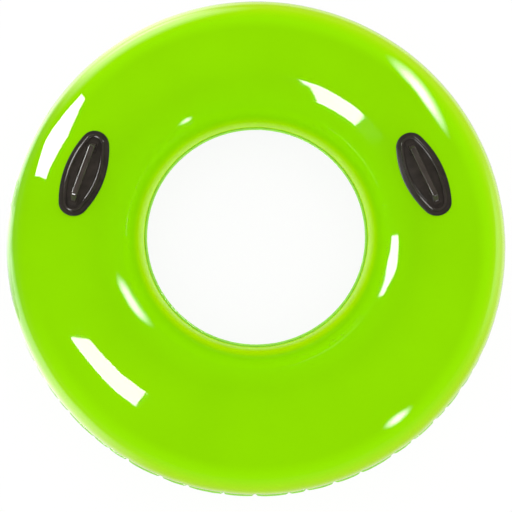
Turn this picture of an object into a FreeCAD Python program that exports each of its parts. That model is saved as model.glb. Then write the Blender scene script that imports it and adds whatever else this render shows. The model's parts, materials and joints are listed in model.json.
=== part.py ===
import FreeCAD
import Part

import math
import os

from FreeCAD import Placement, Rotation, Vector

# Inflatable ring tube: two vinyl sheets welded into a ring, two moulded grab handles on top and a
# screw-in inflation valve low on the back.  Millimetres.  +Z is up, +Y is towards the side that
# carries the valve, and the origin lies on the floor under the middle of the ring.

# ---------------------------------------------------------------- driving dimensions
# the ring
RING_RADIUS = 386.0            # ring axis to the middle of the tube's section
SECTION_HALF_WIDTH = 146.0     # middle of the section to either weld
SECTION_HALF_HEIGHT = 120.0    # weld plane to the crest
SHEET = 0.8                    # vinyl sheet
WELD_WIDTH = 4.5               # how far a welded edge stands out of the tube
WELD_THICKNESS = 1.4           # both sheets fused together
REST_WIDTH = 24.0              # the stretch that goes flat where the ring lies on the floor
BOND_GAP = 0.1                 # glue line between pieces that lie on each other's curved faces

# the handles
RIGHT_AZIMUTH = 16.6           # degrees from +X
RIGHT_ANGLE = 107.4            # degrees round the section from the outer weld
RIGHT_TWIST_ANGLE = 5.3        # degrees about the handle's own normal
LEFT_AZIMUTH = 163.6
LEFT_ANGLE = 104.3
LEFT_TWIST_ANGLE = -0.7
HANDLE_ANGLES = (("right", RIGHT_AZIMUTH, RIGHT_ANGLE, RIGHT_TWIST_ANGLE),
                 ("left", LEFT_AZIMUTH, LEFT_ANGLE, LEFT_TWIST_ANGLE))
HANDLE_HALF_LENGTH = 88.0      # outline of the patch: two long arcs joined by two short ones
HANDLE_HALF_WIDTH = 38.2
HANDLE_END_RADIUS = 27.0
PATCH = 0.8
PLATE_INSET = 2.2              # the plate's edge inside the patch's
PLATE_EDGE = 2.0               # thickness of the plate's outer margin
PLATE_FLOOR = 4.0              # thickness inside the ridge
RIDGE_INSET = 8.8              # outside of the raised oval ridge, from the patch's edge
RIDGE_WIDTH = 6.0
RIDGE_HEIGHT = 7.5             # from the plate's underside
RIDGE_ROUND = 2.2
PAD_LENGTH = 23.4              # square pads that hold the ends of the grip
PAD_WIDTH = 15.8

# the grips
GRIP_WIDTH = 10.2
GRIP_THICKNESS = 7.0
GRIP_GAP = 14.0                # finger room between the plate's floor and the bar
LEG_CENTRE = 54.5              # middle of each leg from the middle of the grip
LEG_LENGTH = 12.0              # leg's size along the grip
LEG_SLOPE = 10.0               # how far each leg leans in on its way up
HEAD_SPREAD = 4.0              # how far the foot spreads past the leg, each way
HEAD_THICKNESS = 2.2
HEAD_FLOOR = 3.3               # underside of the foot above the ring's skin
GRIP_LIFT = 3.0                # travel of the grip until its feet meet the shoulders
GRIP_CLEARANCE = 0.3
SHOULDER = 2.2                 # plate left above each foot's pocket
GRIP_ROUND = 2.2
GRIP_BEND = 6.0                # where the bar bends down into its legs

# the valve
VALVE_ANGLE = -28.0            # degrees round the section from the outer weld, downwards
VALVE_AZIMUTH = 90.0
VALVE_PATCH_RADIUS = 33.0
VALVE_FLANGE_RADIUS = 29.0
VALVE_FLANGE = 1.2
NECK_RADIUS = 17.0
NECK_WALL = 2.4
NECK_DEPTH = 14.0              # how far the neck reaches into the tube
RIM_RADIUS = 19.0
RIM_HEIGHT = 4.5
THREAD_PITCH = 3.0
THREAD_DEPTH = 0.8
THREAD_ROOT = 1.5              # width of the thread's ridge where it leaves the wall
THREAD_CREST = 0.7
THREAD_TURNS = 2.5
THREAD_START = 11.0            # first turn of the neck's thread, below the rim's top
THREAD_CLEARANCE = 0.35        # between one thread's crest and the wall across from it
SINK = 0.3                     # how far a thread's ridge is let into its own wall
INSERT_RADIUS = 18.5
INSERT_FLANGE = 2.2
INSERT_WALL = 2.0
INSERT_DEPTH = 14.0            # how far the barrel reaches below its flange
INSERT_TURNS = 4               # turns from shut to free of the neck
GASKET_SECTION = 0.9           # radius of the sealing ring's section
GASKET_SEAT = 0.05
PORT_RADIUS = 6.2
PORT_WALL = 2.0
PORT_RISE = 3.4                # the port's collar above the insert's flange
PORT_DROP = 4.0                # the port's skirt below the insert's flange
SPIDER_HUB_RADIUS = 2.8
SPIDER_THICKNESS = 1.6
SPIDER_ARMS = 3
SPIDER_ARM_WIDTH = 1.4
FLAP_RADIUS = 7.6
FLAP_THICKNESS = 1.0
FLAP_STEM_RADIUS = 1.2
FLAP_HEAD_RADIUS = 2.1
FLAP_HEAD = 1.1
FLAP_TRAVEL = 1.6
FLAP_CLEARANCE = 0.1
LUG_COUNT = 4                  # finger lugs on the insert's flange
LUG_LENGTH = 4.0
LUG_WIDTH = 3.0
LUG_HEIGHT = 2.0
CAP_RADIUS = 11.0
CAP_THICKNESS = 2.2
CAP_CLEARANCE = 0.15
CAP_PLUG = 1.8                 # how far the plug reaches into the port
CAP_TAB_LENGTH = 5.0
CAP_TAB_WIDTH = 7.0
TETHER_THICKNESS = 1.0
TETHER_WIDTH = 7.0
TETHER_RING_WALL = 1.7
HINGE_REACH = 16.5             # the strap's hinge from the valve's axis
HINGE_GAP = 0.3                # between one half's knuckles and the other's
HINGE_MIDDLE = 2.6             # length of the middle knuckle

# ---------------------------------------------------------------- worked-out places
SHEET_RADIUS = (SECTION_HALF_WIDTH**2 + SECTION_HALF_HEIGHT**2) / (2 * SECTION_HALF_HEIGHT)
REST_SAG = SHEET_RADIUS - math.sqrt(SHEET_RADIUS**2 - (REST_WIDTH / 2) ** 2)
WELD_PLANE = SECTION_HALF_HEIGHT - REST_SAG
UPPER_CENTRE = WELD_PLANE + SECTION_HALF_HEIGHT - SHEET_RADIUS
LOWER_CENTRE = WELD_PLANE - SECTION_HALF_HEIGHT + SHEET_RADIUS

X = Vector(1, 0, 0)
Y = Vector(0, 1, 0)
Z = Vector(0, 0, 1)
ORIGIN = Vector(0, 0, 0)


# ---------------------------------------------------------------- helpers
def revolved(edges):
    """A closed outline in the XZ plane, turned all the way round Z."""
    return Part.Solid(Part.Face(Part.Wire(edges)).revolve(ORIGIN, Z, 360))


def line(start, end):
    return Part.LineSegment(start, end).toShape()


def arc(start, middle, end):
    return Part.Arc(start, middle, end).toShape()


def on_section(radius, centre_z, degrees):
    """A point on a circle round the middle of the section; 0 is outwards, 90 is up."""
    turn = math.radians(degrees)
    return Vector(RING_RADIUS + radius * math.cos(turn), 0, centre_z + radius * math.sin(turn))


def skin(offset, centre_z):
    """The solid ring inside a sheet's outer face grown by offset, its seam line at azimuth 180."""
    ring = Part.makeTorus(RING_RADIUS, SHEET_RADIUS + offset, Vector(0, 0, centre_z), Z)
    ring.rotate(ORIGIN, Z, 180)
    return ring


def seated(shape, degrees, centre_z, twist=0.0):
    """Moves a shape from its own frame, +Z outwards, onto the ring's skin at azimuth 0."""
    moved = shape.copy()
    turn = Rotation(Y, 90 - degrees).multiply(Rotation(Z, twist))
    place = Placement(on_section(SHEET_RADIUS, centre_z, degrees), turn)
    moved.Placement = place.multiply(moved.Placement)
    return moved


def turned(shape, azimuth):
    moved = shape.copy()
    moved.rotate(ORIGIN, Z, azimuth)
    return moved


def disc(radius, low, high, axis_x=0.0, axis_y=0.0):
    return Part.makeCylinder(radius, high - low, Vector(axis_x, axis_y, low))


def tube(outer, inner, low, high):
    return disc(outer, low, high).cut(disc(inner, low, high))


def block(length_x, length_y, low, high, middle_x=0.0, middle_y=0.0):
    corner = Vector(middle_x - length_x / 2, middle_y - length_y / 2, low)
    return Part.makeBox(length_x, length_y, high - low, corner)


def oval(inset, low, high):
    """An upright column inside the handle's oval outline drawn in by inset, long along Y."""
    reach = HANDLE_HALF_LENGTH - HANDLE_END_RADIUS          # centre of each short arc
    long_radius = ((reach**2 + HANDLE_HALF_WIDTH**2 - HANDLE_END_RADIUS**2)
                   / (2 * (HANDLE_HALF_WIDTH - HANDLE_END_RADIUS)))
    offset = long_radius - HANDLE_HALF_WIDTH                # centre of each long arc
    lean = math.atan2(reach, offset)                        # where a long arc meets a short one
    side = long_radius - inset
    meet_x = side * math.cos(lean) - offset
    meet_y = side * math.sin(lean)
    tip = HANDLE_HALF_LENGTH - inset
    flank = HANDLE_HALF_WIDTH - inset
    corners = [Vector(meet_x, -meet_y, low), Vector(flank, 0, low), Vector(meet_x, meet_y, low),
               Vector(0, tip, low), Vector(-meet_x, meet_y, low), Vector(-flank, 0, low),
               Vector(-meet_x, -meet_y, low), Vector(0, -tip, low)]
    edges = [arc(corners[start], corners[start + 1], corners[(start + 2) % 8])
             for start in (0, 2, 4, 6)]
    return Part.Face(Part.Wire(edges)).extrude(Vector(0, 0, high - low))


# ---------------------------------------------------------------- the ring
def half_width_at(radius, rise):
    """Half the width of a section circle at a height measured from its centre."""
    return math.sqrt(radius**2 - rise**2)


def upper_shell():
    """The top sheet, from one weld over the crest to the other."""
    cut = WELD_PLANE + BOND_GAP / 2
    rise = cut - UPPER_CENTRE
    outer = half_width_at(SHEET_RADIUS, rise)
    inner = half_width_at(SHEET_RADIUS - SHEET, rise)
    return revolved([
        arc(Vector(RING_RADIUS + outer, 0, cut), on_section(SHEET_RADIUS, UPPER_CENTRE, 90),
            Vector(RING_RADIUS - outer, 0, cut)),
        line(Vector(RING_RADIUS - outer, 0, cut), Vector(RING_RADIUS - inner, 0, cut)),
        arc(Vector(RING_RADIUS - inner, 0, cut),
            on_section(SHEET_RADIUS - SHEET, UPPER_CENTRE, 90),
            Vector(RING_RADIUS + inner, 0, cut)),
        line(Vector(RING_RADIUS + inner, 0, cut), Vector(RING_RADIUS + outer, 0, cut)),
    ])


def lower_outline(radius, floor, cut, way):
    """Half of one face of the bottom sheet: from the weld down to the flat, on one side."""
    weld = half_width_at(radius, LOWER_CENTRE - cut)
    flat = half_width_at(radius, LOWER_CENTRE - floor)
    middle = math.degrees(math.atan2(-(LOWER_CENTRE - cut), weld)
                          + math.atan2(-(LOWER_CENTRE - floor), flat)) / 2
    turn = middle if way > 0 else 180 - middle
    return (Vector(RING_RADIUS + way * weld, 0, cut),
            on_section(radius, LOWER_CENTRE, turn),
            Vector(RING_RADIUS + way * flat, 0, floor))


def lower_shell():
    """The bottom sheet, flat where it lies on the floor and open for the valve's neck."""
    cut = WELD_PLANE - BOND_GAP / 2
    outside = [lower_outline(SHEET_RADIUS, 0.0, cut, way) for way in (1, -1)]
    inside = [lower_outline(SHEET_RADIUS - SHEET, SHEET, cut, way) for way in (1, -1)]
    sheet = revolved([
        arc(*outside[0]),
        line(outside[0][2], outside[1][2]),
        arc(*reversed(outside[1])),
        line(outside[1][0], inside[1][0]),
        arc(*inside[1]),
        line(inside[1][2], inside[0][2]),
        arc(*reversed(inside[0])),
        line(inside[0][0], outside[0][0]),
    ])
    hole = disc(NECK_RADIUS + BOND_GAP, -NECK_DEPTH, RIM_HEIGHT)
    return sheet.cut(turned(seated(hole, VALVE_ANGLE, LOWER_CENTRE), VALVE_AZIMUTH))


def weld_ring(way):
    """A fused edge, way 1 outside the tube or -1 in the hole, its root along the two sheets."""
    edge = RING_RADIUS + way * (SECTION_HALF_WIDTH + WELD_WIDTH)
    half = WELD_THICKNESS / 2

    def root(rise):
        reach = half_width_at(SHEET_RADIUS + BOND_GAP, WELD_PLANE - UPPER_CENTRE + abs(rise))
        return Vector(RING_RADIUS + way * reach, 0, WELD_PLANE + rise)

    free = [Vector(edge, 0, WELD_PLANE + half), Vector(edge, 0, WELD_PLANE - half)]
    return revolved([
        arc(root(half), root(half / 2), root(0)),
        arc(root(0), root(-half / 2), root(-half)),
        line(root(-half), free[1]),
        line(free[1], free[0]),
        line(free[0], root(half)),
    ])


# ---------------------------------------------------------------- the handles
PLATE_BASE = BOND_GAP + PATCH + BOND_GAP      # underside of the plate above the skin
PLATE_TOP = PLATE_BASE + PLATE_FLOOR
COLUMN_LOW = -20.0                            # oval columns that cut a piece out of the skin
COLUMN_HIGH = 40.0
HEAD_TOP = HEAD_FLOOR + HEAD_THICKNESS
POCKET_TOP = HEAD_TOP + GRIP_LIFT + GRIP_CLEARANCE
PAD_TOP = POCKET_TOP + SHOULDER
BAR_LOW = PLATE_TOP + GRIP_GAP
BAR_TOP = BAR_LOW + GRIP_THICKNESS


def on_handle(shape, place):
    """Seats a shape on the top sheet at a place: section angle and twist."""
    return seated(shape, place[0], UPPER_CENTRE, place[1])


def on_skin(inset, top, place):
    """The oval stretch of the ring under offset top."""
    return skin(top, UPPER_CENTRE).common(on_handle(oval(inset, COLUMN_LOW, COLUMN_HIGH), place))


def handle_patch(place):
    """Thin oval doubler between the top sheet and the moulded plate."""
    return on_skin(0, BOND_GAP + PATCH, place).cut(skin(BOND_GAP, UPPER_CENTRE))


def ridge(place):
    """The raised oval ridge, its two top edges rounded."""
    ring = on_skin(RIDGE_INSET, PLATE_BASE + RIDGE_HEIGHT, place)
    inside = oval(RIDGE_INSET + RIDGE_WIDTH, COLUMN_LOW, COLUMN_HIGH)
    ring = ring.cut(on_handle(inside, place)).cut(skin(PLATE_BASE, UPPER_CENTRE))
    top = skin(PLATE_BASE + RIDGE_HEIGHT - RIDGE_ROUND / 2, UPPER_CENTRE)
    edges = []
    for edge in ring.Edges:
        ends = [edge.valueAt(edge.FirstParameter), edge.valueAt(edge.LastParameter)]
        if not any(top.isInside(end, 1e-3, True) for end in ends):
            edges.append(edge)
    return ring.makeFillet(RIDGE_ROUND, edges)


def leg_pockets():
    """What the grip's legs and feet take out of the plate, in the handle's own frame."""
    slack = 2 * GRIP_CLEARANCE
    cuts = []
    for way in (1, -1):
        cuts.append(block(GRIP_WIDTH + slack, LEG_LENGTH + slack, COLUMN_LOW, COLUMN_HIGH,
                          middle_y=way * LEG_CENTRE))
        cuts.append(block(GRIP_WIDTH + slack, LEG_LENGTH + 2 * HEAD_SPREAD + slack,
                          COLUMN_LOW, POCKET_TOP, middle_y=way * LEG_CENTRE))
    return cuts


def handle_plate(place):
    """Moulded oval plate: margin, ridge, floor, and two pads with pockets for the grip."""
    plate = on_skin(PLATE_INSET, PLATE_BASE + PLATE_EDGE, place)
    middle = on_skin(RIDGE_INSET + RIDGE_WIDTH / 2, PLATE_TOP, place)
    pads = [on_handle(block(PAD_WIDTH, PAD_LENGTH, COLUMN_LOW, PAD_TOP,
                            middle_y=way * LEG_CENTRE), place) for way in (1, -1)]
    plate = plate.fuse([middle] + pads).cut(skin(PLATE_BASE, UPPER_CENTRE)).fuse(ridge(place))
    for pocket in leg_pockets():
        plate = plate.cut(on_handle(pocket, place))
    return plate.removeSplitter()


def grip(place):
    """The bar with its two leaning legs, and a spread foot below each."""
    out_foot = LEG_CENTRE + LEG_LENGTH / 2
    in_foot = LEG_CENTRE - LEG_LENGTH / 2
    knee = PAD_TOP + GRIP_CLEARANCE
    outline = [Vector(0, -out_foot, HEAD_FLOOR), Vector(0, -out_foot, knee),
               Vector(0, LEG_SLOPE - out_foot, BAR_TOP), Vector(0, out_foot - LEG_SLOPE, BAR_TOP),
               Vector(0, out_foot, knee), Vector(0, out_foot, HEAD_FLOOR),
               Vector(0, in_foot, HEAD_FLOOR), Vector(0, in_foot, knee),
               Vector(0, in_foot - LEG_SLOPE, BAR_LOW), Vector(0, LEG_SLOPE - in_foot, BAR_LOW),
               Vector(0, -in_foot, knee), Vector(0, -in_foot, HEAD_FLOOR)]
    bar = Part.Face(Part.makePolygon(outline + outline[:1])).extrude(Vector(GRIP_WIDTH, 0, 0))
    bar.translate(Vector(-GRIP_WIDTH / 2, 0, 0))
    bends = [e for e in bar.Edges
             if abs(e.tangentAt(e.FirstParameter).x) > 0.9 and e.BoundBox.ZMin > knee + 1]
    bar = bar.makeFillet(GRIP_BEND, bends)
    rims = [e for e in bar.Edges
            if abs(e.tangentAt(e.FirstParameter).x) < 0.1 and e.BoundBox.ZMax > knee + 0.5]
    bar = bar.makeFillet(GRIP_ROUND, rims)
    feet = [block(GRIP_WIDTH, LEG_LENGTH + 2 * HEAD_SPREAD, HEAD_FLOOR, HEAD_TOP,
                  middle_y=way * LEG_CENTRE) for way in (1, -1)]
    return on_handle(bar.fuse(feet).removeSplitter(), place)


# ---------------------------------------------------------------- the valve
# Its own frame: +Z out of the ring along the valve's axis, 0 on the ring's skin, +X down the skin.
NECK_BORE = NECK_RADIUS - NECK_WALL
BARREL_RADIUS = NECK_BORE - THREAD_DEPTH - THREAD_CLEARANCE
COLLAR_RADIUS = PORT_RADIUS + PORT_WALL
INSERT_LOW = RIM_HEIGHT + GASKET_SEAT         # underside of the insert's flange
INSERT_TOP = INSERT_LOW + INSERT_FLANGE
COLLAR_TOP = INSERT_TOP + PORT_RISE
SKIRT_LOW = INSERT_LOW - PORT_DROP
HUB_TOP = SKIRT_LOW + SPIDER_THICKNESS
FLAP_TOP = SKIRT_LOW - FLAP_CLEARANCE
TETHER_LOW = INSERT_TOP + CAP_CLEARANCE
CAP_LOW = COLLAR_TOP + BOND_GAP
HINGE_Z = (TETHER_LOW + CAP_LOW + TETHER_THICKNESS) / 2
HINGE_RADIUS = HINGE_Z - TETHER_LOW - TETHER_THICKNESS - HINGE_GAP


def on_valve(shape):
    return turned(seated(shape, VALVE_ANGLE, LOWER_CENTRE), VALVE_AZIMUTH)


def skin_disc(radius, low, high):
    """The round stretch of the ring between two offsets of the bottom sheet's outer face."""
    column = seated(disc(radius, -NECK_DEPTH, RIM_HEIGHT), VALVE_ANGLE, LOWER_CENTRE)
    return skin(high, LOWER_CENTRE).common(column).cut(skin(low, LOWER_CENTRE))


def thread(wall, way, start, turns):
    """A helical ridge on a round wall: way 1 stands outwards, -1 stands inwards."""
    helix = Part.makeHelix(THREAD_PITCH, THREAD_PITCH * turns, wall)
    root = wall - way * SINK
    crest = wall + way * THREAD_DEPTH
    corners = [Vector(root, 0, -THREAD_ROOT / 2), Vector(root, 0, THREAD_ROOT / 2),
               Vector(crest, 0, THREAD_CREST / 2), Vector(crest, 0, -THREAD_CREST / 2)]
    profile = Part.makePolygon(corners + corners[:1])
    ridge_solid = Part.Wire(helix).makePipeShell([profile], True, True)
    ridge_solid.translate(Vector(0, 0, start))
    return ridge_solid


def valve_patch():
    patch = skin_disc(VALVE_PATCH_RADIUS, BOND_GAP, BOND_GAP + PATCH)
    hole = seated(disc(NECK_RADIUS + BOND_GAP, -NECK_DEPTH, RIM_HEIGHT), VALVE_ANGLE, LOWER_CENTRE)
    return turned(patch.cut(hole), VALVE_AZIMUTH)


def valve_base():
    """Curved welding flange, rim, and threaded neck with a seat for the sealing ring."""
    flange = skin_disc(VALVE_FLANGE_RADIUS, PLATE_BASE, PLATE_BASE + VALVE_FLANGE)
    rim = seated(disc(RIM_RADIUS, -NECK_DEPTH, RIM_HEIGHT), VALVE_ANGLE, LOWER_CENTRE)
    rim = rim.cut(skin(PLATE_BASE, LOWER_CENTRE))
    column = seated(disc(NECK_RADIUS, -NECK_DEPTH - 1, RIM_HEIGHT + 1), VALVE_ANGLE, LOWER_CENTRE)
    neck = tube(NECK_RADIUS, NECK_BORE, -NECK_DEPTH, RIM_HEIGHT)
    neck = neck.fuse(thread(NECK_BORE, -1, RIM_HEIGHT - THREAD_START, THREAD_TURNS))
    neck = neck.cut(disc(BARREL_RADIUS + 2 * GASKET_SECTION + CAP_CLEARANCE,
                         RIM_HEIGHT - 2 * GASKET_SECTION, RIM_HEIGHT + 1))
    collar = flange.fuse(rim).cut(column)
    body = collar.fuse(seated(neck, VALVE_ANGLE, LOWER_CENTRE))
    return turned(body.removeSplitter(), VALVE_AZIMUTH)


def gasket_ring(grow):
    """The sealing ring in the corner between the barrel and the flange."""
    radius = BARREL_RADIUS + GASKET_SECTION
    return Part.makeTorus(radius, GASKET_SECTION + grow, Vector(0, 0, INSERT_LOW - GASKET_SECTION))


def valve_gasket():
    return on_valve(gasket_ring(-GASKET_SEAT))


def spider():
    """Hub on thin arms across the mouth of the port's skirt."""
    arm = block(PORT_RADIUS + PORT_WALL / 2, SPIDER_ARM_WIDTH, SKIRT_LOW, HUB_TOP,
                middle_x=(PORT_RADIUS + PORT_WALL / 2) / 2)
    arms = []
    for index in range(SPIDER_ARMS):
        arms.append(turned(arm, 360 / SPIDER_ARMS * index))
    web = disc(SPIDER_HUB_RADIUS, SKIRT_LOW, HUB_TOP).fuse(arms)
    return web.cut(disc(FLAP_STEM_RADIUS + FLAP_CLEARANCE, SKIRT_LOW, HUB_TOP))


def valve_insert():
    """Screw-in body: lugged flange, threaded barrel, and the port with its spider."""
    body = disc(INSERT_RADIUS, INSERT_LOW, INSERT_TOP)
    body = body.fuse(tube(BARREL_RADIUS, BARREL_RADIUS - INSERT_WALL,
                          INSERT_LOW - INSERT_DEPTH, INSERT_LOW))
    body = body.fuse(disc(COLLAR_RADIUS, SKIRT_LOW, COLLAR_TOP))
    lug = block(LUG_LENGTH, LUG_WIDTH, INSERT_TOP - SINK, INSERT_TOP + LUG_HEIGHT,
                middle_x=INSERT_RADIUS - LUG_LENGTH / 2 - SINK)
    lugs = [turned(lug, 45 + 360 / LUG_COUNT * index) for index in range(LUG_COUNT)]
    body = body.fuse(lugs).cut(disc(PORT_RADIUS, SKIRT_LOW - 1, COLLAR_TOP + 1))
    ridges = thread(BARREL_RADIUS, 1, RIM_HEIGHT - THREAD_START - THREAD_PITCH / 2, THREAD_TURNS)
    return on_valve(body.fuse([spider(), ridges]).removeSplitter())


def valve_flap():
    """Rubber disc on a stem whose head stands clear above the hub while the flap is shut."""
    stem_top = HUB_TOP + FLAP_TRAVEL + FLAP_CLEARANCE
    flap = disc(FLAP_RADIUS, FLAP_TOP - FLAP_THICKNESS, FLAP_TOP)
    flap = flap.fuse(disc(FLAP_STEM_RADIUS, FLAP_TOP - SINK, stem_top + SINK))
    return on_valve(flap.fuse(disc(FLAP_HEAD_RADIUS, stem_top, stem_top + FLAP_HEAD)))


def knuckle(low_y, high_y, way):
    """A stretch of the strap's hinge between two places along it, and the riser to its arm."""
    barrel = Part.makeCylinder(HINGE_RADIUS, high_y - low_y, Vector(-HINGE_REACH, low_y, HINGE_Z), Y)
    width = high_y - low_y
    middle = (high_y + low_y) / 2
    if way < 0:
        riser = block(TETHER_THICKNESS, width, TETHER_LOW, HINGE_Z, -HINGE_REACH, middle)
    else:
        riser = block(TETHER_THICKNESS, width, HINGE_Z, CAP_LOW + TETHER_THICKNESS,
                      -HINGE_REACH, middle)
    return barrel.fuse(riser)


def valve_tether():
    """Ring round the port's collar, and a strap that carries the hinge's middle knuckle."""
    top = TETHER_LOW + TETHER_THICKNESS
    inner = COLLAR_RADIUS + CAP_CLEARANCE
    arm = block(HINGE_REACH - inner, TETHER_WIDTH, TETHER_LOW, top,
                middle_x=-(HINGE_REACH + inner) / 2)
    middle = knuckle(-HINGE_MIDDLE / 2, HINGE_MIDDLE / 2, -1)
    body = disc(inner + TETHER_RING_WALL, TETHER_LOW, top).fuse([arm, middle])
    return on_valve(body.cut(disc(inner, TETHER_LOW - 1, top + 1)).removeSplitter())


def valve_cap():
    """Snap cap: disc, short plug, thumb tab, and an arm with the hinge's outer knuckles."""
    top = CAP_LOW + CAP_THICKNESS
    plug = disc(PORT_RADIUS - CAP_CLEARANCE, CAP_LOW - CAP_PLUG, CAP_LOW + SINK)
    plug = plug.cut(disc(PORT_RADIUS - PORT_WALL, CAP_LOW - CAP_PLUG - 1, CAP_LOW))
    tab = block(CAP_TAB_LENGTH, CAP_TAB_WIDTH, CAP_LOW, CAP_LOW + TETHER_THICKNESS,
                middle_x=CAP_RADIUS + CAP_TAB_LENGTH / 2 - 1)
    arm_reach = HINGE_REACH - TETHER_THICKNESS / 2
    arm = block(arm_reach, TETHER_WIDTH, CAP_LOW, CAP_LOW + TETHER_THICKNESS,
                middle_x=-arm_reach / 2)
    inside = HINGE_MIDDLE / 2 + HINGE_GAP
    sides = [knuckle(inside, TETHER_WIDTH / 2, 1), knuckle(-TETHER_WIDTH / 2, -inside, 1)]
    body = disc(CAP_RADIUS, CAP_LOW, top).fuse([plug, tab, arm] + sides).removeSplitter()
    rim = [e for e in body.Edges
           if e.BoundBox.ZMin > top - 1e-3 and e.BoundBox.XLength > CAP_RADIUS]
    return on_valve(body.makeFillet(TETHER_THICKNESS / 2, rim))


def write(name, shape):
    shape.exportStep(os.path.join("parts", name + ".step"))
    print(name, "valid", shape.isValid(), "solids", len(shape.Solids), "volume", round(shape.Volume, 1))


os.makedirs("parts", exist_ok=True)
write("upper_shell", upper_shell())
write("lower_shell", lower_shell())
write("outer_weld_seam", weld_ring(1))
write("inner_weld_seam", weld_ring(-1))
for side, azimuth, *spot in HANDLE_ANGLES:
    write(side + "_handle_patch", turned(handle_patch(spot), azimuth))
    write(side + "_handle_plate", turned(handle_plate(spot), azimuth))
    write(side + "_grip", turned(grip(spot), azimuth))
write("valve_patch", valve_patch())
write("valve_base", valve_base())
write("valve_gasket", valve_gasket())
write("valve_insert", valve_insert())
write("valve_flap", valve_flap())
write("valve_tether", valve_tether())
write("valve_cap", valve_cap())
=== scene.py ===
import json
import math

import bpy
import numpy as np
from mathutils import Matrix, Vector


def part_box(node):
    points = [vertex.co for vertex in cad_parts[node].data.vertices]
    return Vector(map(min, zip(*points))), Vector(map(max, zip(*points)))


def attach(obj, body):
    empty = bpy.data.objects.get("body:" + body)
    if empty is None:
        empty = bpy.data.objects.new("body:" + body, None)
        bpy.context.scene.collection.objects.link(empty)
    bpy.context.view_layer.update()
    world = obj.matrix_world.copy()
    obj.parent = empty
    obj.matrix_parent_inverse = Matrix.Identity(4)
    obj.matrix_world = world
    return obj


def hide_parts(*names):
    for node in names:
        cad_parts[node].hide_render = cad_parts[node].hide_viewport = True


bl_info = {
    "name": "Ring Tube",
    "version": (1, 0, 0),
    "blender": (4, 5, 0),
    "location": "3D View > Sidebar > Ring Tube",
    "description": "Dresses an inflatable ring with two grab handles and a valve",
    "category": "Object",
}

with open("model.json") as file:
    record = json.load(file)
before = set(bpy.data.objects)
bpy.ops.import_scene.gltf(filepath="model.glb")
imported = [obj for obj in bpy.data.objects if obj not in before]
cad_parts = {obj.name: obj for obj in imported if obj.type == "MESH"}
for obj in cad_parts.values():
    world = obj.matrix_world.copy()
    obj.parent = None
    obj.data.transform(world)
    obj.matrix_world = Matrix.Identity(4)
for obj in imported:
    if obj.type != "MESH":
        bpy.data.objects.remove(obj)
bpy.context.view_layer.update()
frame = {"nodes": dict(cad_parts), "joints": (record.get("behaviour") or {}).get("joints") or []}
NODES = frame["nodes"]


def edge_radius(name, pick):
    """The least or the greatest distance of a node's corners from the ring's axis."""
    node = NODES[name]
    return pick(math.hypot(*(node.matrix_world @ corner.co).xy) for corner in node.data.vertices)


# The ring's own sizes in metres, read from the solids.
WELD_LOW, WELD_HIGH = (corner.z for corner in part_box("outer_weld_seam"))
WELD_PLANE = (WELD_LOW + WELD_HIGH) / 2
WELD_THICKNESS = WELD_HIGH - WELD_LOW
OUTER_EDGE = edge_radius("outer_weld_seam", max)
INNER_EDGE = edge_radius("inner_weld_seam", min)
MIDDLE_RADIUS = (OUTER_EDGE + INNER_EDGE) / 2
HALF_WIDTH = (OUTER_EDGE - INNER_EDGE) / 2
RING_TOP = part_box("upper_shell")[1].z

# The opening of the lower sheet round the valve's neck, and how deep it is cut, in metres.
NECK_OPENING_RADIUS = 0.0171
NECK_CUT_DEPTH = 0.03


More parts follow.
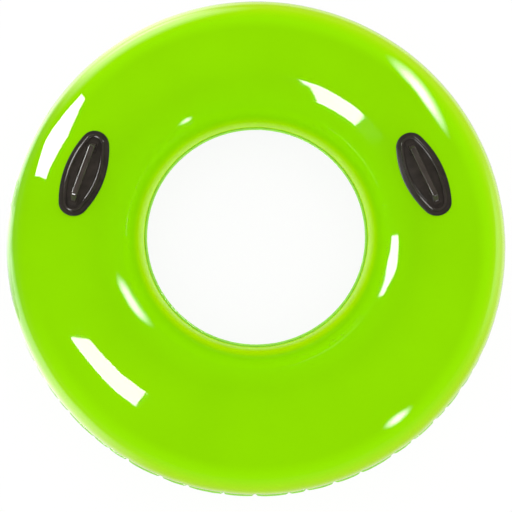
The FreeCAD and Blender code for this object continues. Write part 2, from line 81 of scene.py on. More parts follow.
# ------------------------------------------------------------------ settings
class RingTubeSettings(bpy.types.PropertyGroup):
    """Sizes, colours and finishes of the ring tube."""

    weld_width: bpy.props.FloatProperty(
        name="Weld width", description="How far the fused edge stands out of the ring",
        default=0.0045, min=0.001, unit="LENGTH")
    sheet_thickness: bpy.props.FloatProperty(
        name="Sheet thickness", description="Thickness of the vinyl sheet",
        default=0.0008, min=0.0003, unit="LENGTH")
    pucker_spacing: bpy.props.FloatProperty(
        name="Pucker spacing", description="Mean distance between puckers along the outer weld",
        default=0.056, min=0.02, unit="LENGTH")
    pucker_depth: bpy.props.FloatProperty(
        name="Pucker depth", description="How far the deepest pucker pulls the outer weld in",
        default=0.0060, min=0.0, unit="LENGTH")
    pucker_reach: bpy.props.FloatProperty(
        name="Pucker reach", description="How far a pucker's crease runs over the sheet",
        default=0.020, min=0.002, unit="LENGTH")
    pucker_seed: bpy.props.IntProperty(
        name="Pucker seed", description="Changes where the puckers fall", default=7, min=0)
    vinyl: bpy.props.FloatVectorProperty(
        name="Vinyl", description="Colour of the two sheets", subtype="COLOR",
        size=3, min=0.0, max=1.0, default=(0.278, 0.72, 0.0))
    # painted light: a lighter lime where the sheets turn down to the hole, standing in for light glowing
    # through the vinyl
    vinyl_painted_glow_inside: bpy.props.FloatVectorProperty(
        name="Vinyl inside", description="Colour of the sheets where they turn down to the hole",
        subtype="COLOR", size=3, min=0.0, max=1.0, default=(0.60, 1.0, 0.0))
    # painted light: a lighter lime where the sheets turn down to the outer weld, standing in for light
    # glowing through the vinyl
    vinyl_painted_glow_rim: bpy.props.FloatVectorProperty(
        name="Vinyl rim", description="Colour of the sheets where they turn down to the outer weld",
        subtype="COLOR", size=3, min=0.0, max=1.0, default=(0.57, 0.90, 0.0))
    # painted light: paler and whiter than the sheets, lifting this edge out of the hole's shade with a
    # painted pale highlight
    inner_weld: bpy.props.FloatVectorProperty(
        name="Inner weld", description="Colour of the fused edge round the hole", subtype="COLOR",
        size=3, min=0.0, max=1.0, default=(0.45, 0.93, 0.12))
    # painted light: paler and whiter than the sheets, a painted pale reflection along the fused edge
    outer_weld: bpy.props.FloatVectorProperty(
        name="Outer weld", description="Colour of the fused edge round the ring", subtype="COLOR",
        size=3, min=0.0, max=1.0, default=(0.38, 0.80, 0.12))
    handle: bpy.props.FloatVectorProperty(
        name="Handle", description="Colour of the moulded handles", subtype="COLOR",
        size=3, min=0.0, max=1.0, default=(0.034, 0.028, 0.023))
    valve: bpy.props.FloatVectorProperty(
        name="Valve", description="Colour of the valve's mouldings", subtype="COLOR",
        size=3, min=0.0, max=1.0, default=(0.030, 0.030, 0.032))
    rubber: bpy.props.FloatVectorProperty(
        name="Rubber", description="Colour of the sealing ring and the flap", subtype="COLOR",
        size=3, min=0.0, max=1.0, default=(0.018, 0.018, 0.018))
    see_through: bpy.props.FloatProperty(
        name="See-through", description="How much light passes straight through a sheet",
        default=0.12, min=0.0, max=1.0, subtype="FACTOR")
    lens: bpy.props.FloatProperty(
        name="Lens", description="Focal length of the camera in millimetres",
        default=33.1, min=10.0, max=300.0)


def settings():
    return bpy.context.scene.ring_tube


# ------------------------------------------------------------------ node helpers
def node_of_kind(tree, kind):
    return next(node for node in tree.nodes if node.type == kind)


def new_material(name):
    """A new material, with its node tree and its main shader."""
    material = bpy.data.materials.new(name)
    material.use_nodes = True
    tree = material.node_tree
    return material, tree, node_of_kind(tree, "BSDF_PRINCIPLED")


def feed(tree, socket, value):
    """Links another node's output to a socket, or sets the socket to a plain value."""
    if isinstance(value, bpy.types.NodeSocket):
        tree.links.new(value, socket)
    else:
        socket.default_value = value


def number_math(tree, operation, first, second):
    """Works on two numbers and gives a number."""
    node = tree.nodes.new("ShaderNodeMath")
    node.operation = operation
    feed(tree, node.inputs[0], first)
    feed(tree, node.inputs[1], second)
    return node.outputs[0]


def vector_math(tree, operation, *vectors):
    """Works on vectors and gives a vector, or a number for a length or a distance."""
    node = tree.nodes.new("ShaderNodeVectorMath")
    node.operation = operation
    for socket, vector in zip(node.inputs, vectors):
        feed(tree, socket, vector)
    return node.outputs["Value" if operation in ("LENGTH", "DISTANCE") else "Vector"]


def mapped(tree, source, start, stop, first, last, smooth=False):
    """Goes from the first number to the last while the source goes from start to stop."""
    node = tree.nodes.new("ShaderNodeMapRange")
    if smooth:
        node.interpolation_type = "SMOOTHSTEP"
    tree.links.new(source, node.inputs["Value"])
    node.inputs["From Min"].default_value = start
    node.inputs["From Max"].default_value = stop
    node.inputs["To Min"].default_value = first
    node.inputs["To Max"].default_value = last
    return node.outputs["Result"]


def mixed(tree, share, first, second):
    """The first colour where the share is 0, and the second where it is 1."""
    node = tree.nodes.new("ShaderNodeMix")
    node.data_type = "RGBA"
    tree.links.new(share, node.inputs["Factor"])
    for socket, colour in ((node.inputs[6], first), (node.inputs[7], second)):
        feed(tree, socket, (*colour, 1.0) if isinstance(colour, tuple) else colour)
    return node.outputs[2]


def mixed_surface(tree, output_kind, share, first, second):
    """Shows the first shader where the share is 0, and the second where it is 1."""
    node = tree.nodes.new("ShaderNodeMixShader")
    for socket, source in zip(node.inputs, (share, first.outputs[0], second.outputs[0])):
        tree.links.new(source, socket)
    tree.links.new(node.outputs[0], node_of_kind(tree, output_kind).inputs["Surface"])


def object_noise(tree, scale, detail=2.0, roughness=0.5):
    """Noise fixed to the piece, scale in features per metre."""
    coords = tree.nodes.new("ShaderNodeTexCoord")
    noise = tree.nodes.new("ShaderNodeTexNoise")
    noise.inputs["Scale"].default_value = scale
    noise.inputs["Detail"].default_value = detail
    noise.inputs["Roughness"].default_value = roughness
    tree.links.new(coords.outputs["Object"], noise.inputs["Vector"])
    return noise.outputs["Fac"]


def ramp_between(tree, source, low, high):
    """Goes from the low colour to the high one over the middle of the source's range."""
    node = tree.nodes.new("ShaderNodeValToRGB")
    for element, position, colour in zip(node.color_ramp.elements, (0.3, 0.7), (low, high)):
        element.position = position
        element.color = (*colour, 1.0)
    tree.links.new(source, node.inputs["Fac"])
    return node.outputs["Color"]


def bump(tree, shader, height, strength, distance, over=None):
    """Gives a shader's surface a fine relief, over another relief where one is given."""
    node = tree.nodes.new("ShaderNodeBump")
    node.inputs["Strength"].default_value = strength
    node.inputs["Distance"].default_value = distance
    tree.links.new(height, node.inputs["Height"])
    if over is not None:
        tree.links.new(over, node.inputs["Normal"])
    tree.links.new(node.outputs["Normal"], shader.inputs["Normal"])
    return node.outputs["Normal"]


def radius_share(tree, start, stop, centre=(0.0, 0.0, 0.0)):
    """How far a point lies from an upright axis: 0 at start, 1 at stop, both in metres."""
    place = tree.nodes.new("ShaderNodeTexCoord").outputs["Object"]
    moved = vector_math(tree, "SUBTRACT", place, centre)
    flat = vector_math(tree, "MULTIPLY", moved, (1.0, 1.0, 0.0))
    return mapped(tree, vector_math(tree, "LENGTH", flat), start, stop, 0.0, 1.0, smooth=True)


# ------------------------------------------------------------------ materials
def shade(colour, factor):
    """A colour made darker, or paler up to full brightness."""
    return tuple(min(1.0, part * factor) for part in colour)


def uneven_roughness(tree, shader, noise, smoothest, roughest):
    """Lets a shader's roughness wander between two values."""
    wandering = mapped(tree, noise, 0.0, 1.0, smoothest, roughest)
    tree.links.new(wandering, shader.inputs["Roughness"])


def slope_share(tree, start, stop, middle):
    """0 at start and 1 at stop, both as shares of the half width, out from the middle circle."""
    return radius_share(tree, MIDDLE_RADIUS + start * HALF_WIDTH,
                        MIDDLE_RADIUS + stop * HALF_WIDTH, middle)


def painted_glow_bands(tree, tint, colour, inside, rim):
    """Painted light in the sheets: lighter bands where they turn down to the hole and to the outer weld.
    """
    hole_middle = (0.0, -0.004, 0.0)
    # painted light: lighter bands down to the hole
    for full, end, paler in ((-0.83, -0.45, shade(colour, 1.15)), (-0.945, -0.86, inside)):
        tint = mixed(tree, slope_share(tree, full, end, hole_middle), paler, tint)
    # the painted glow at the rim is left off near one spot on its left
    rim_middle = (0.0, -0.022, 0.0)
    plain_spot = (-0.52, 0.02, 0.0)
    plain_radius = 0.12
    pale_radius = 0.42
    away = radius_share(tree, plain_radius, pale_radius, plain_spot)
    # painted light: lighter bands down to the outer weld
    for end, full, paler in ((0.23, 0.44, shade(colour, 1.14)), (0.40, 0.82, rim)):
        share = number_math(tree, "MULTIPLY", slope_share(tree, end, full, rim_middle), away)
        tint = mixed(tree, share, tint, paler)
    return tint


def vinyl_material(name, colour, see_through, roughness, painted_glows=None):
    """Glossy vinyl with a very slightly wavy skin; the last argument, where given, holds colours of
    painted light where the sheet turns down to the hole and to the rim.
    """
    material, tree, shader = new_material(name)
    cloud = object_noise(tree, scale=5.0, detail=3.0)
    tint = ramp_between(tree, cloud, shade(colour, 0.965), shade(colour, 1.03))
    # painted light: lighter bands near the hole and the rim
    if painted_glows is not None:
        tint = painted_glow_bands(tree, tint, colour, *painted_glows)
    tree.links.new(tint, shader.inputs["Base Color"])
    haze = object_noise(tree, scale=28.0, detail=4.0)
    uneven_roughness(tree, shader, haze, roughness * 0.7, roughness * 1.4)
    shader.inputs["IOR"].default_value = 1.5
    shader.inputs["Transmission Weight"].default_value = see_through
    waves = object_noise(tree, scale=22.0, detail=1.0)
    peel = object_noise(tree, scale=420.0, detail=2.0)
    wavy = bump(tree, shader, waves, strength=0.10, distance=0.0025)
    bump(tree, shader, peel, strength=0.05, distance=0.0002, over=wavy)
    return material


def moulded_material(name, colour, roughness, grain, grain_depth, coat=0.0):
    """Moulded plastic or rubber with a fine grain, cloudy in colour."""
    material, tree, shader = new_material(name)
    cloud = object_noise(tree, scale=60.0, detail=4.0)
    tint = ramp_between(tree, cloud, shade(colour, 0.85), shade(colour, 1.25))
    tree.links.new(tint, shader.inputs["Base Color"])
    haze = object_noise(tree, scale=140.0, detail=3.0)
    uneven_roughness(tree, shader, haze, roughness * 0.85, roughness * 1.2)
    shader.inputs["IOR"].default_value = 1.5
    shader.inputs["Coat Weight"].default_value = coat
    shader.inputs["Coat Roughness"].default_value = 0.15
    pores = object_noise(tree, scale=grain, detail=3.0, roughness=0.6)
    bump(tree, shader, pores, strength=0.25, distance=grain_depth)
    return material


# ------------------------------------------------------------------ mesh helpers
def make_piece(name, points, faces, material, smooth=True):
    """An object from its points and faces, in the scene with its material on."""
    mesh = bpy.data.meshes.new(name)
    mesh.from_pydata([tuple(p) for p in points], [], faces)
    mesh.update()
    if smooth:
        mesh.polygons.foreach_set("use_smooth", [True] * len(mesh.polygons))
    piece = bpy.data.objects.new(name, mesh)
    bpy.context.scene.collection.objects.link(piece)
    mesh.materials.append(material)
    return piece


def closed_loops(rows, columns):
    """Quads of a grid that closes on itself both ways; rows run round the section."""
    row, column = np.meshgrid(np.arange(rows), np.arange(columns), indexing="ij")
    next_row, next_column = (row + 1) % rows, (column + 1) % columns
    quads = np.stack([row * columns + column, row * columns + next_column,
                      next_row * columns + next_column, next_row * columns + column], -1)
    return quads.reshape(-1, 4).tolist()


def ring_piece(name, grid, flipped, material):
    """A closed skin from rows of points round its section; flipped where its faces point inwards."""
    rows, columns, _ = grid.shape
    faces = closed_loops(rows, columns)
    if flipped:
        faces = [face[::-1] for face in faces]
    return make_piece(name, grid.reshape(-1, 3), faces, material)


def even_turns(count):
    """Angles evenly round a circle."""
    return [i * 2 * math.pi / count for i in range(count)]


def wall_faces(count):
    """Quads from a ring of corners to the ring that follows it."""
    return [[i, (i + 1) % count, count + (i + 1) % count, count + i] for i in range(count)]


def wrapped(angle):
    """The same angle, between minus and plus half a turn."""
    return (angle + math.pi) % (2 * math.pi) - math.pi


# ------------------------------------------------------------------ the ring
class Puckers:
    """Where the outer weld is gathered: azimuth, depth, half width, reach and lean of each pucker."""

    GAP_SHARES = (0.55, 1.45)
    DEPTH_SHARES = (0.35, 1.0)
    WIDTHS = (0.0045, 0.0075)
    REACH_SHARES = (0.6, 1.3)
    LEANS = (-0.35, 0.35)

    def __init__(self, values):
        rng = np.random.default_rng(values.pucker_seed)
        count = round(2 * math.pi * OUTER_EDGE / values.pucker_spacing)
        gaps = rng.uniform(*self.GAP_SHARES, count)
        self.azimuth = np.cumsum(gaps) / gaps.sum() * 2 * math.pi
        self.depth = values.pucker_depth * rng.uniform(*self.DEPTH_SHARES, count)
        self.width = rng.uniform(*self.WIDTHS, count)
        self.reach = values.pucker_reach * rng.uniform(*self.REACH_SHARES, count)
        self.lean = rng.uniform(*self.LEANS, count)

    def azimuths(self, base):
        """Even columns, with closer ones in their place across each pucker."""
        half_fan = (0.12, 0.25, 0.45, 0.7, 1.0, 1.4, 2.0)
        clear_angle = 0.020
        fan = np.array([*(-share for share in reversed(half_fan)), 0.0, *half_fan])
        close = self.azimuth[:, None] + fan * (self.width / OUTER_EDGE)[:, None]
        even = np.arange(base) * 2 * math.pi / base
        crowded = np.abs(wrapped(even[:, None] - self.azimuth)).min(1) < clear_angle
        return np.sort(np.concatenate([even[~crowded], close.ravel() % (2 * math.pi)]))

    def inward(self, azimuth, along, above):
        """How far the sheet is drawn in at each azimuth and distance from the outer weld."""
        widening = 0.35
        sharpness = 1.2
        fading = 1.4
        soft_width = 2.2
        crease_share = 0.75
        total = np.zeros(np.broadcast(azimuth, along).shape)
        for turn, depth, width, reach, lean in zip(self.azimuth, self.depth, self.width,
                                                   self.reach, self.lean):
            across = wrapped(azimuth - turn) * OUTER_EDGE - above * lean * along
            spread = width * (1.0 + along / reach * widening)
            crease = np.clip(1 - np.abs(across) / spread, 0, 1) ** sharpness
            soft = np.exp(-(across / (soft_width * width)) ** 2)
            fade = np.exp(-(along / reach) ** fading)
            total += depth * fade * (crease_share * crease + (1 - crease_share) * soft)
        return total


def long_waves(azimuth, turn, seed):
    """The slow unevenness of a blown-up sheet, a few tenths of a millimetre."""
    height = 0.00012
    rng = np.random.default_rng(seed)
    total = np.zeros(np.broadcast(azimuth, turn).shape)
    for around in (3, 5, 8, 13, 21):
        phase = rng.uniform(0, 2 * math.pi, 2)
        total += np.sin(around * azimuth + phase[0]) * np.sin((2 + around / 7) * turn + phase[1])
    return total * height


def sheet_piece(name, way, values, puckers, material):
    """One sheet, way 1 over the top or -1 underneath, as a closed skin of its real thickness."""
    rows = 64
    columns = 480
    crowding = 0.55
    settling = 0.00035
    floor_clearance = 0.0001
    half_width = HALF_WIDTH - values.weld_width
    half_height = RING_TOP - WELD_PLANE
    radius = (half_width**2 + half_height**2) / (2 * half_height)
    drop = radius - half_height
    start = math.asin((drop + WELD_THICKNESS / 2) / radius)
    # rows are close at both welds and wider over the crest
    even = np.linspace(0, 1, rows)
    crowded = 0.5 - 0.5 * np.cos(math.pi * even)
    turns = start + (math.pi - 2 * start) * ((1 - crowding) * even + crowding * crowded)
    turn, azimuth = np.meshgrid(turns, puckers.azimuths(columns), indexing="ij")
    draw = puckers.inward(azimuth, (turn - start) * radius, way)
    free = np.sin((turn - start) / (math.pi - 2 * start) * math.pi) ** 0.5
    draw = draw + free * (long_waves(azimuth, turn, seed=11 + way) + settling)
    skins = []
    for inset in (0.0, values.sheet_thickness):
        arm = radius - inset - draw
        out = MIDDLE_RADIUS + arm * np.cos(turn)
        rise = -drop + arm * np.sin(turn)
        height = WELD_PLANE + way * np.maximum(rise, WELD_THICKNESS / 2)
        if way < 0:
            height = np.maximum(height, floor_clearance + inset)
        skins.append(np.stack([out * np.cos(azimuth), out * np.sin(azimuth), height], -1))
    return ring_piece(name, np.concatenate([skins[0], skins[1][::-1]], 0), way < 0, material)


def weld_piece(name, outer, values, puckers, material):
    """A fused edge, drawn in and kinked where the sheets are gathered."""
    columns = 720
    seed = 5 if outer else 6
    root_width = 0.0012
    kink = 0.0016
    waviness = 0.00010
    raggedness = 0.00012
    edge = OUTER_EDGE if outer else INNER_EDGE
    way = 1 if outer else -1
    width = values.weld_width
    azimuth = puckers.azimuths(columns)
    rng = np.random.default_rng(seed)
    wave = np.zeros_like(azimuth)
    for around in (23, 41, 67, 101):
        phase = rng.uniform(0, 6.3)
        wave += np.sin(around * azimuth + phase) * rng.uniform(0.4, 1.0)
    draw = np.zeros_like(azimuth)
    if outer:
        draw = puckers.inward(azimuth, np.zeros_like(azimuth), 1)
    slope = np.gradient(draw, azimuth * OUTER_EDGE)
    tilt = kink * np.clip(slope, -1, 1) + waviness * wave
    # the section's lower half: distances from the root, and shares of the half thickness
    lower = ((-root_width, 1.0), (0.62 * width, 1.0), (0.90 * width, 0.75), (width, 0.2))
    section = [(across, -share * WELD_THICKNESS / 2) for across, share in lower]
    section += [(across, -height) for across, height in reversed(section)]
    rows = []
    for across, height in section:
        ragged = raggedness * np.abs(wave) if across > 0 else 0.0
        out = edge - way * (width - across + ragged) - draw
        rise = WELD_PLANE + height + tilt * max(across, 0.0) / width
        rows.append(np.stack([out * np.cos(azimuth), out * np.sin(azimuth), rise], -1))
    return ring_piece(name, np.stack(rows, 0), not outer, material)


def cut_round_hole(piece, centre, axis, radius, depth):
    """Opens a sheet for the valve's neck."""
    count = 96
    side = axis.orthogonal().normalized()
    other = axis.cross(side)
    points = [centre + axis * end + side * (radius * math.cos(turn)) + other * (radius * math.sin(turn))
              for end in (-depth / 2, depth / 2) for turn in even_turns(count)]
    faces = [list(range(count))[::-1], list(range(count, 2 * count)), *wall_faces(count)]
    cutter = make_piece("neck_cutter", points, faces, piece.data.materials[0], smooth=False)
    modifier = piece.modifiers.new("neck", "BOOLEAN")
    modifier.operation = "DIFFERENCE"
    modifier.solver = "MANIFOLD"
    modifier.object = cutter
    graph = bpy.context.evaluated_depsgraph_get()
    opened = bpy.data.meshes.new_from_object(piece.evaluated_get(graph))
    piece.modifiers.clear()
    piece.data = opened
    bpy.data.objects.remove(cutter)


def joint(name):
    """A joint of the frame, by its name."""
    return next(j for j in frame["joints"] if j["name"] == name)


# ------------------------------------------------------------------ the pieces' operators
class RINGTUBE_OT_ring(bpy.types.Operator):
    """Build the two vinyl sheets and their fused edges"""

    bl_idname = "ringtube.ring"
    bl_label = "Ring"

    def execute(self, context):
        values = settings()
        puckers = Puckers(values)
        # colours of painted light where the sheets turn down to the hole and to the rim
        painted_glows = (tuple(values.vinyl_painted_glow_inside), tuple(values.vinyl_painted_glow_rim))
        vinyl = vinyl_material("lime_vinyl_sheet", tuple(values.vinyl), values.see_through,
                               roughness=0.032, painted_glows=painted_glows)
        # both welds' colours are paler and whiter than the sheets: painted light on the fused edges
        inner_vinyl = vinyl_material("lime_vinyl_weld", tuple(values.inner_weld),
                                     see_through=0.15, roughness=0.12)
        outer_vinyl = vinyl_material("lime_vinyl_outer_weld", tuple(values.outer_weld),
                                     see_through=0.10, roughness=0.12)
        upper = sheet_piece("upper_sheet", 1, values, puckers, vinyl)
        lower = sheet_piece("lower_sheet", -1, values, puckers, vinyl)
        neck = joint("valve_insert_turn")
        cut_round_hole(lower, Vector(neck["pos_m"]), Vector(neck["axis"]).normalized(),
                       NECK_OPENING_RADIUS, NECK_CUT_DEPTH)
        outer = weld_piece("outer_weld", True, values, puckers, outer_vinyl)
        inner = weld_piece("inner_weld", False, values, puckers, inner_vinyl)
        for piece, node, slot in ((upper, "upper_shell", "vinyl_sheet"),
                                  (lower, "lower_shell", "vinyl_sheet"),
                                  (outer, "outer_weld_seam", "vinyl_weld"),
                                  (inner, "inner_weld_seam", "vinyl_weld")):
            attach(piece, "ring")
            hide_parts(node)
        # each sheet was cut flat as a ring 0.410 m wide, with a hole 0.362 m across
        return {"FINISHED"}


def dress(names, material):
    """Gives nodes of the frame their finish; their solids are shown as they are."""
    for name in names:
        node = NODES[name]
        node.data.materials.clear()
        node.data.materials.append(material)


class RINGTUBE_OT_handles(bpy.types.Operator):
    """Finish the two grab handles"""

    bl_idname = "ringtube.handles"
    bl_label = "Handles"

    def execute(self, context):
        colour = settings().handle
        plate = moulded_material("black_moulded_vinyl", colour,
                                 roughness=0.15, grain=900.0, grain_depth=0.00003)
        bar = moulded_material("black_grip_vinyl", shade(colour, 1.4),
                               roughness=0.15, grain=700.0, grain_depth=0.00004, coat=0.25)
        patch = moulded_material("black_vinyl_patch", shade(colour, 0.6),
                                 roughness=0.3, grain=500.0, grain_depth=0.00005)
        dress(["right_handle_plate", "left_handle_plate"], plate)
        dress(["right_grip", "left_grip"], bar)
        dress(["right_handle_patch", "left_handle_patch"], patch)
        return {"FINISHED"}


class RINGTUBE_OT_valve(bpy.types.Operator):
    """Finish the inflation valve"""

    bl_idname = "ringtube.valve"
    bl_label = "Valve"

    def execute(self, context):
        values = settings()
        plastic = moulded_material("black_valve_plastic", values.valve,
                                   roughness=0.33, grain=1100.0, grain_depth=0.00004, coat=0.15)
        rubber = moulded_material("black_valve_rubber", values.rubber,
                                  roughness=0.6, grain=900.0, grain_depth=0.00005)
        doubler = vinyl_material("lime_vinyl_doubler", shade(values.vinyl, 0.9),
                                 see_through=0.15, roughness=0.08)
        dress(["valve_base", "valve_insert", "valve_tether", "valve_cap"], plastic)
        dress(["valve_gasket", "valve_flap"], rubber)
        dress(["valve_patch"], doubler)
        return {"FINISHED"}


# ------------------------------------------------------------------ floor and backdrop
def level_by_distance(tree, place, middle, stops):
    """A brightness given at several distances from a point, in metres."""
    farthest = 4.0
    share = number_math(tree, "DIVIDE", vector_math(tree, "DISTANCE", place, middle), farthest)
    ramp = tree.nodes.new("ShaderNodeValToRGB")
    elements = ramp.color_ramp.elements
    # new stops start just before the last one
    while len(elements) < len(stops):
        elements.new(0.99)
    for element, (distance, level) in zip(elements, stops):
        element.position = distance / farthest
        element.color = (level, level, level, 1.0)
    tree.links.new(share, ramp.inputs["Fac"])
    return ramp.outputs["Color"]


def floor_pool(tree):
    """Brightness of the floor in reflections: bright round the ring, dim far out and in the hole."""
    place = tree.nodes.new("ShaderNodeTexCoord").outputs["Object"]
    pool_middle = (0.0, 0.15, 0.0)
    hole_middle = (0.0, 0.0, 0.0)
    round_ring = level_by_distance(tree, place, pool_middle,
                                   ((0.0, 0.7), (0.76, 0.7), (0.82, 0.4), (0.88, 0.12),
                                    (1.0, 0.04), (3.0, 0.01)))
    past_hole = level_by_distance(tree, place, hole_middle, ((0.0, 0.0), (0.44, 0.0), (0.50, 1.0)))
    return number_math(tree, "MULTIPLY", round_ring, past_hole)


def floor_material():
    """A matt floor that takes shadows; what the eye and the gloss see of it is mostly its own glow."""
    glow_share = 0.92
    material, tree, shader = new_material("studio_floor")
    grain = object_noise(tree, scale=3.0, detail=2.0)
    tint = ramp_between(tree, grain, (0.90, 0.90, 0.90), (0.93, 0.93, 0.93))
    tree.links.new(tint, shader.inputs["Base Color"])
    shader.inputs["Roughness"].default_value = 0.9
    shader.inputs["Specular IOR Level"].default_value = 0.0
    rays = tree.nodes.new("ShaderNodeLightPath").outputs
    level = tree.nodes.new("ShaderNodeMix")
    level.data_type = "FLOAT"
    level.inputs["A"].default_value = 1.0
    tree.links.new(rays["Is Glossy Ray"], level.inputs["Factor"])
    tree.links.new(floor_pool(tree), level.inputs["B"])
    glow = tree.nodes.new("ShaderNodeEmission")
    tree.links.new(level.outputs["Result"], glow.inputs["Strength"])
    seen = number_math(tree, "MAXIMUM", rays["Is Camera Ray"], rays["Is Glossy Ray"])
    seen = number_math(tree, "MAXIMUM", seen, rays["Is Transmission Ray"])
    share = number_math(tree, "MULTIPLY", seen, glow_share)
    mixed_surface(tree, "OUTPUT_MATERIAL", share, shader, glow)
    return material


def studio_floor():
    """A wide flat floor under the ring."""
    reach = 6.0
    corners = [(-reach, -reach, 0), (reach, -reach, 0), (reach, reach, 0), (-reach, reach, 0)]
    floor = make_piece("studio_floor", corners, [[0, 1, 2, 3]], floor_material(), smooth=False)


def studio_world():
    """White all round for the eye, with a dim ceiling in reflections."""
    world = bpy.data.worlds.new("studio")
    world.use_nodes = True
    tree = world.node_tree
    bright = node_of_kind(tree, "BACKGROUND")
    bright.inputs["Color"].default_value = (1, 1, 1, 1)
    bright.inputs["Strength"].default_value = 1.2
    coords = tree.nodes.new("ShaderNodeTexCoord")
    split = tree.nodes.new("ShaderNodeSeparateXYZ")
    tree.links.new(coords.outputs["Generated"], split.inputs[0])
    ceiling = tree.nodes.new("ShaderNodeBackground")
    ceiling.inputs["Color"].default_value = (1, 1, 1, 1)
    level = mapped(tree, split.outputs["Z"], start=-0.05, stop=0.22, first=0.04, last=0.008)
    tree.links.new(level, ceiling.inputs["Strength"])
    rays = tree.nodes.new("ShaderNodeLightPath").outputs
    mixed_surface(tree, "OUTPUT_WORLD", rays["Is Glossy Ray"], bright, ceiling)
    bpy.context.scene.world = world


# ------------------------------------------------------------------ lamps, seen only in reflections
def only_in_reflections(lamp):
    """Hides a lamp from the eye, from matt surfaces and from light that passes through."""
    lamp.visible_camera = False
    lamp.visible_diffuse = False
    lamp.visible_transmission = False


def glowing_piece(name, points, faces, material, place=(0.0, 0.0, 0.0)):
    """A stage piece that glows and casts no shadow."""
    piece = make_piece(name, points, faces, material, smooth=False)
    piece.location = place
    only_in_reflections(piece)
    piece.visible_shadow = False


def glow_from_front(tree, radiance):
    """Light from the front of the faces only; they are clear from behind."""
    glow = tree.nodes.new("ShaderNodeEmission")
    feed(tree, glow.inputs["Strength"], radiance)
    clear = tree.nodes.new("ShaderNodeBsdfTransparent")
    side = tree.nodes.new("ShaderNodeNewGeometry")
    mixed_surface(tree, "OUTPUT_MATERIAL", side.outputs["Backfacing"], glow, clear)


def cone_card(name, centre, inner, outer, high, low, radiance):
    """A pale cone on the floor inside the hole, lit on its outer face; it fades towards its tip."""
    count = 96
    dark_radius, bright_radius = 0.10, 0.17
    material, tree, _ = new_material(name)
    share = radius_share(tree, dark_radius, bright_radius)
    glow_from_front(tree, number_math(tree, "MULTIPLY", share, radiance))
    points = [(radius * math.cos(turn), radius * math.sin(turn), height)
              for radius, height in ((outer, low), (inner, high)) for turn in even_turns(count)]
    glowing_piece(name, points, wall_faces(count), material, centre)


def panel(name, place, facing, outline, radiance):
    """A flat panel with crisp edges, lit on its front face.

    Its place is over the weld plane. Its outline runs anticlockwise as seen from the front, in
    metres across and up from there.
    """
    material, tree, _ = new_material(name)
    glow_from_front(tree, radiance)
    front = Vector(facing).normalized()
    level = Vector((0, 0, 1)).cross(front).normalized()
    up = front.cross(level)
    middle = Vector(place) + Vector((0, 0, WELD_PLANE))
    corners = [middle + level * across + up * rise for across, rise in outline]
    glowing_piece(name, corners, [list(range(len(corners)))], material)


def area_lamp(name, place, facing, across, width, height):
    """An elliptical area lamp at a place over the weld plane."""
    light = bpy.data.lights.new(name, "AREA")
    light.shape = "ELLIPSE"
    light.size = width
    light.size_y = height
    lamp = bpy.data.objects.new(name, light)
    bpy.context.scene.collection.objects.link(lamp)
    back = -Vector(facing).normalized()
    side = Vector(across)
    side = (side - back * side.dot(back)).normalized()
    turn = Matrix((side, back.cross(side), back)).transposed().to_4x4()
    lamp.matrix_world = Matrix.Translation(Vector((0, 0, WELD_PLANE)) + Vector(place)) @ turn
    only_in_reflections(lamp)
    return light


def softbox(name, place, facing, across, width, height, softness, radiance):
    """A lamp that fades towards its edge: full inside 1 - softness, nothing past 1 + softness."""
    spread = 1.0 + softness
    light = area_lamp(name, place, facing, across, width * spread, height * spread)
    area = math.pi / 4 * light.size * light.size_y
    light.energy = radiance * math.pi * area
    light.use_nodes = True
    tree = light.node_tree
    spot = tree.nodes.new("ShaderNodeNewGeometry").outputs["Parametric"]
    from_middle = vector_math(tree, "SUBTRACT", spot, (0.5, 0.5, 0.0))
    scaled = vector_math(tree, "MULTIPLY", from_middle, (2.0 * spread, 2.0 * spread, 0.0))
    away = vector_math(tree, "LENGTH", scaled)
    fade = mapped(tree, away, 1.0 - softness, 1.0 + softness, 1.0, 0.0, smooth=True)
    tree.links.new(fade, node_of_kind(tree, "EMISSION").inputs["Strength"])


def card(name, azimuth, distance, height, lean, width, length, radiance):
    """A soft pale card beside the ring: upright at 0 degrees of lean, flat and face up at 90."""
    turn = math.radians(azimuth)
    out = Vector((math.cos(turn), math.sin(turn), 0))
    tilt = math.radians(lean)
    towards = -out * math.cos(tilt) + Vector((0, 0, math.sin(tilt)))
    softbox(name, out * distance + Vector((0, 0, height - WELD_PLANE)), towards,
            (-out.y, out.x, 0), width, length, softness=0.6, radiance=radiance)


def crisp_lamps():
    """Panels whose edges show in the gloss: two softboxes, and a flag with a softbox before it."""
    panel("front_left_softbox", (-0.58, -0.36, 1.14), (0.53, 0.80, -0.28),
          ((-0.225, -0.465), (0.185, -0.385), (0.185, 0.370), (-0.140, 0.460)), radiance=22.0)
    # the dim flag hides that softbox from the far side of the ring, and the next one lights that side
    panel("front_left_flag", (-0.13, -0.04, 0.56), (0.70, 0.67, -0.26),
          ((-0.090, -0.245), (0.090, -0.245), (0.090, 0.240), (-0.090, 0.240)), radiance=0.02)
    panel("middle_softbox", (-0.10, -0.05, 0.56), (0.70, 0.67, -0.26),
          ((-0.045, -0.185), (0.035, -0.155), (0.055, 0.155), (-0.020, 0.175)), radiance=22.0)
    panel("back_left_softbox", (-0.83, 0.48, 0.37), (0.75, -0.52, -0.42),
          ((0.205, -0.105), (0.190, 0.040), (0.035, 0.205),
           (-0.170, 0.145), (-0.215, -0.110), (-0.050, -0.215)), radiance=22.0)


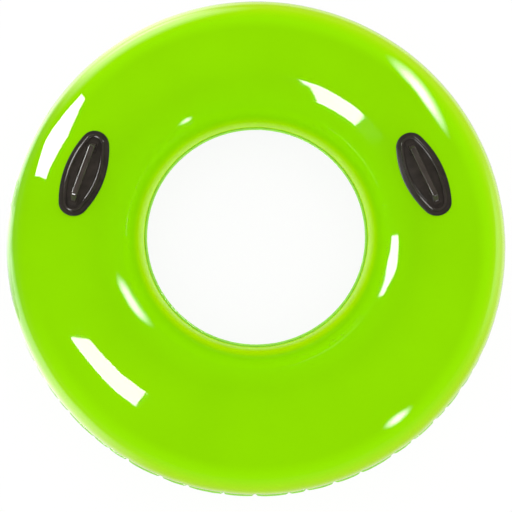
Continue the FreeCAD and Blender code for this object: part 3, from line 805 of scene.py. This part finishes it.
def soft_lamps():
    """Softboxes and pale cards that fade towards their edges."""
    softbox("back_right_softbox", (0.79, 0.76, 0.505), (-0.77, -0.47, 0.44), (0.42, -0.88, -0.21),
            width=0.25, height=0.46, softness=0.80, radiance=20.0)
    softbox("front_right_softbox", (0.775, -0.92, 0.425), (-0.62, 0.72, -0.33), (-0.77, -0.64, 0.04),
            width=0.105, height=0.15, softness=0.90, radiance=20.0)
    cards = (
        # name, azimuth, distance from the axis, height, lean, width, length, radiance
        ("back_card", 117.0, 1.15, 0.15, 0.0, 0.80, 0.30, 1.8),
        ("back_floor_card", 120.0, 1.15, 0.004, 90.0, 0.70, 0.90, 1.3),
        ("left_floor_card", 165.0, 0.82, 0.004, 90.0, 0.65, 0.42, 1.5),
        ("front_left_floor_card", 207.0, 0.92, 0.004, 90.0, 0.85, 0.70, 1.1),
        ("right_floor_card", 0.0, 1.50, 0.004, 90.0, 0.90, 1.20, 0.6),
    )
    for row in cards:
        card(*row)
    cone_card("hole_card", centre=(0.0, -0.04, 0.0), inner=0.06, outer=0.19, high=0.080, low=0.003,
              radiance=1.5)


# ------------------------------------------------------------------ the camera and the stage's operator
def studio_camera(lens):
    """A camera over the front of the ring that looks down on it, tilted a little towards the back."""
    height = 1.003
    forward = 0.187
    tilt = math.radians(7.86)
    camera = bpy.data.cameras.new("camera")
    camera.lens = lens
    camera.sensor_width = 36.0
    eye = bpy.data.objects.new("camera", camera)
    bpy.context.scene.collection.objects.link(eye)
    eye.location = (0.0, -forward, WELD_PLANE + height)
    eye.rotation_euler = (tilt, 0.0, 0.0)
    bpy.context.scene.camera = eye


class RINGTUBE_OT_stage(bpy.types.Operator):
    """Set up the floor, the lamps, the world and the camera"""

    bl_idname = "ringtube.stage"
    bl_label = "Stage"

    def execute(self, context):
        context.scene.view_settings.view_transform = "Standard"
        studio_floor()
        studio_world()
        crisp_lamps()
        soft_lamps()
        studio_camera(settings().lens)
        return {"FINISHED"}


class RINGTUBE_PT_panel(bpy.types.Panel):
    """Lists the ring tube's pieces and settings"""

    bl_label = "Ring Tube"
    bl_idname = "RINGTUBE_PT_panel"
    bl_space_type = "VIEW_3D"
    bl_region_type = "UI"
    bl_category = "Ring Tube"

    def draw(self, context):
        column = self.layout.column()
        for name in RingTubeSettings.__annotations__:
            column.prop(context.scene.ring_tube, name)
        for operator in OPERATORS:
            column.operator(operator.bl_idname)


OPERATORS = (RINGTUBE_OT_ring, RINGTUBE_OT_handles, RINGTUBE_OT_valve, RINGTUBE_OT_stage)
CLASSES = (RingTubeSettings, *OPERATORS, RINGTUBE_PT_panel)


def register():
    for cls in CLASSES:
        bpy.utils.register_class(cls)
    bpy.types.Scene.ring_tube = bpy.props.PointerProperty(type=RingTubeSettings)


def unregister():
    del bpy.types.Scene.ring_tube
    for cls in reversed(CLASSES):
        bpy.utils.unregister_class(cls)


def main():
    register()
    bpy.ops.ringtube.ring()
    bpy.ops.ringtube.handles()
    bpy.ops.ringtube.valve()
    bpy.ops.ringtube.stage()


if __name__ == "__main__":
    main()
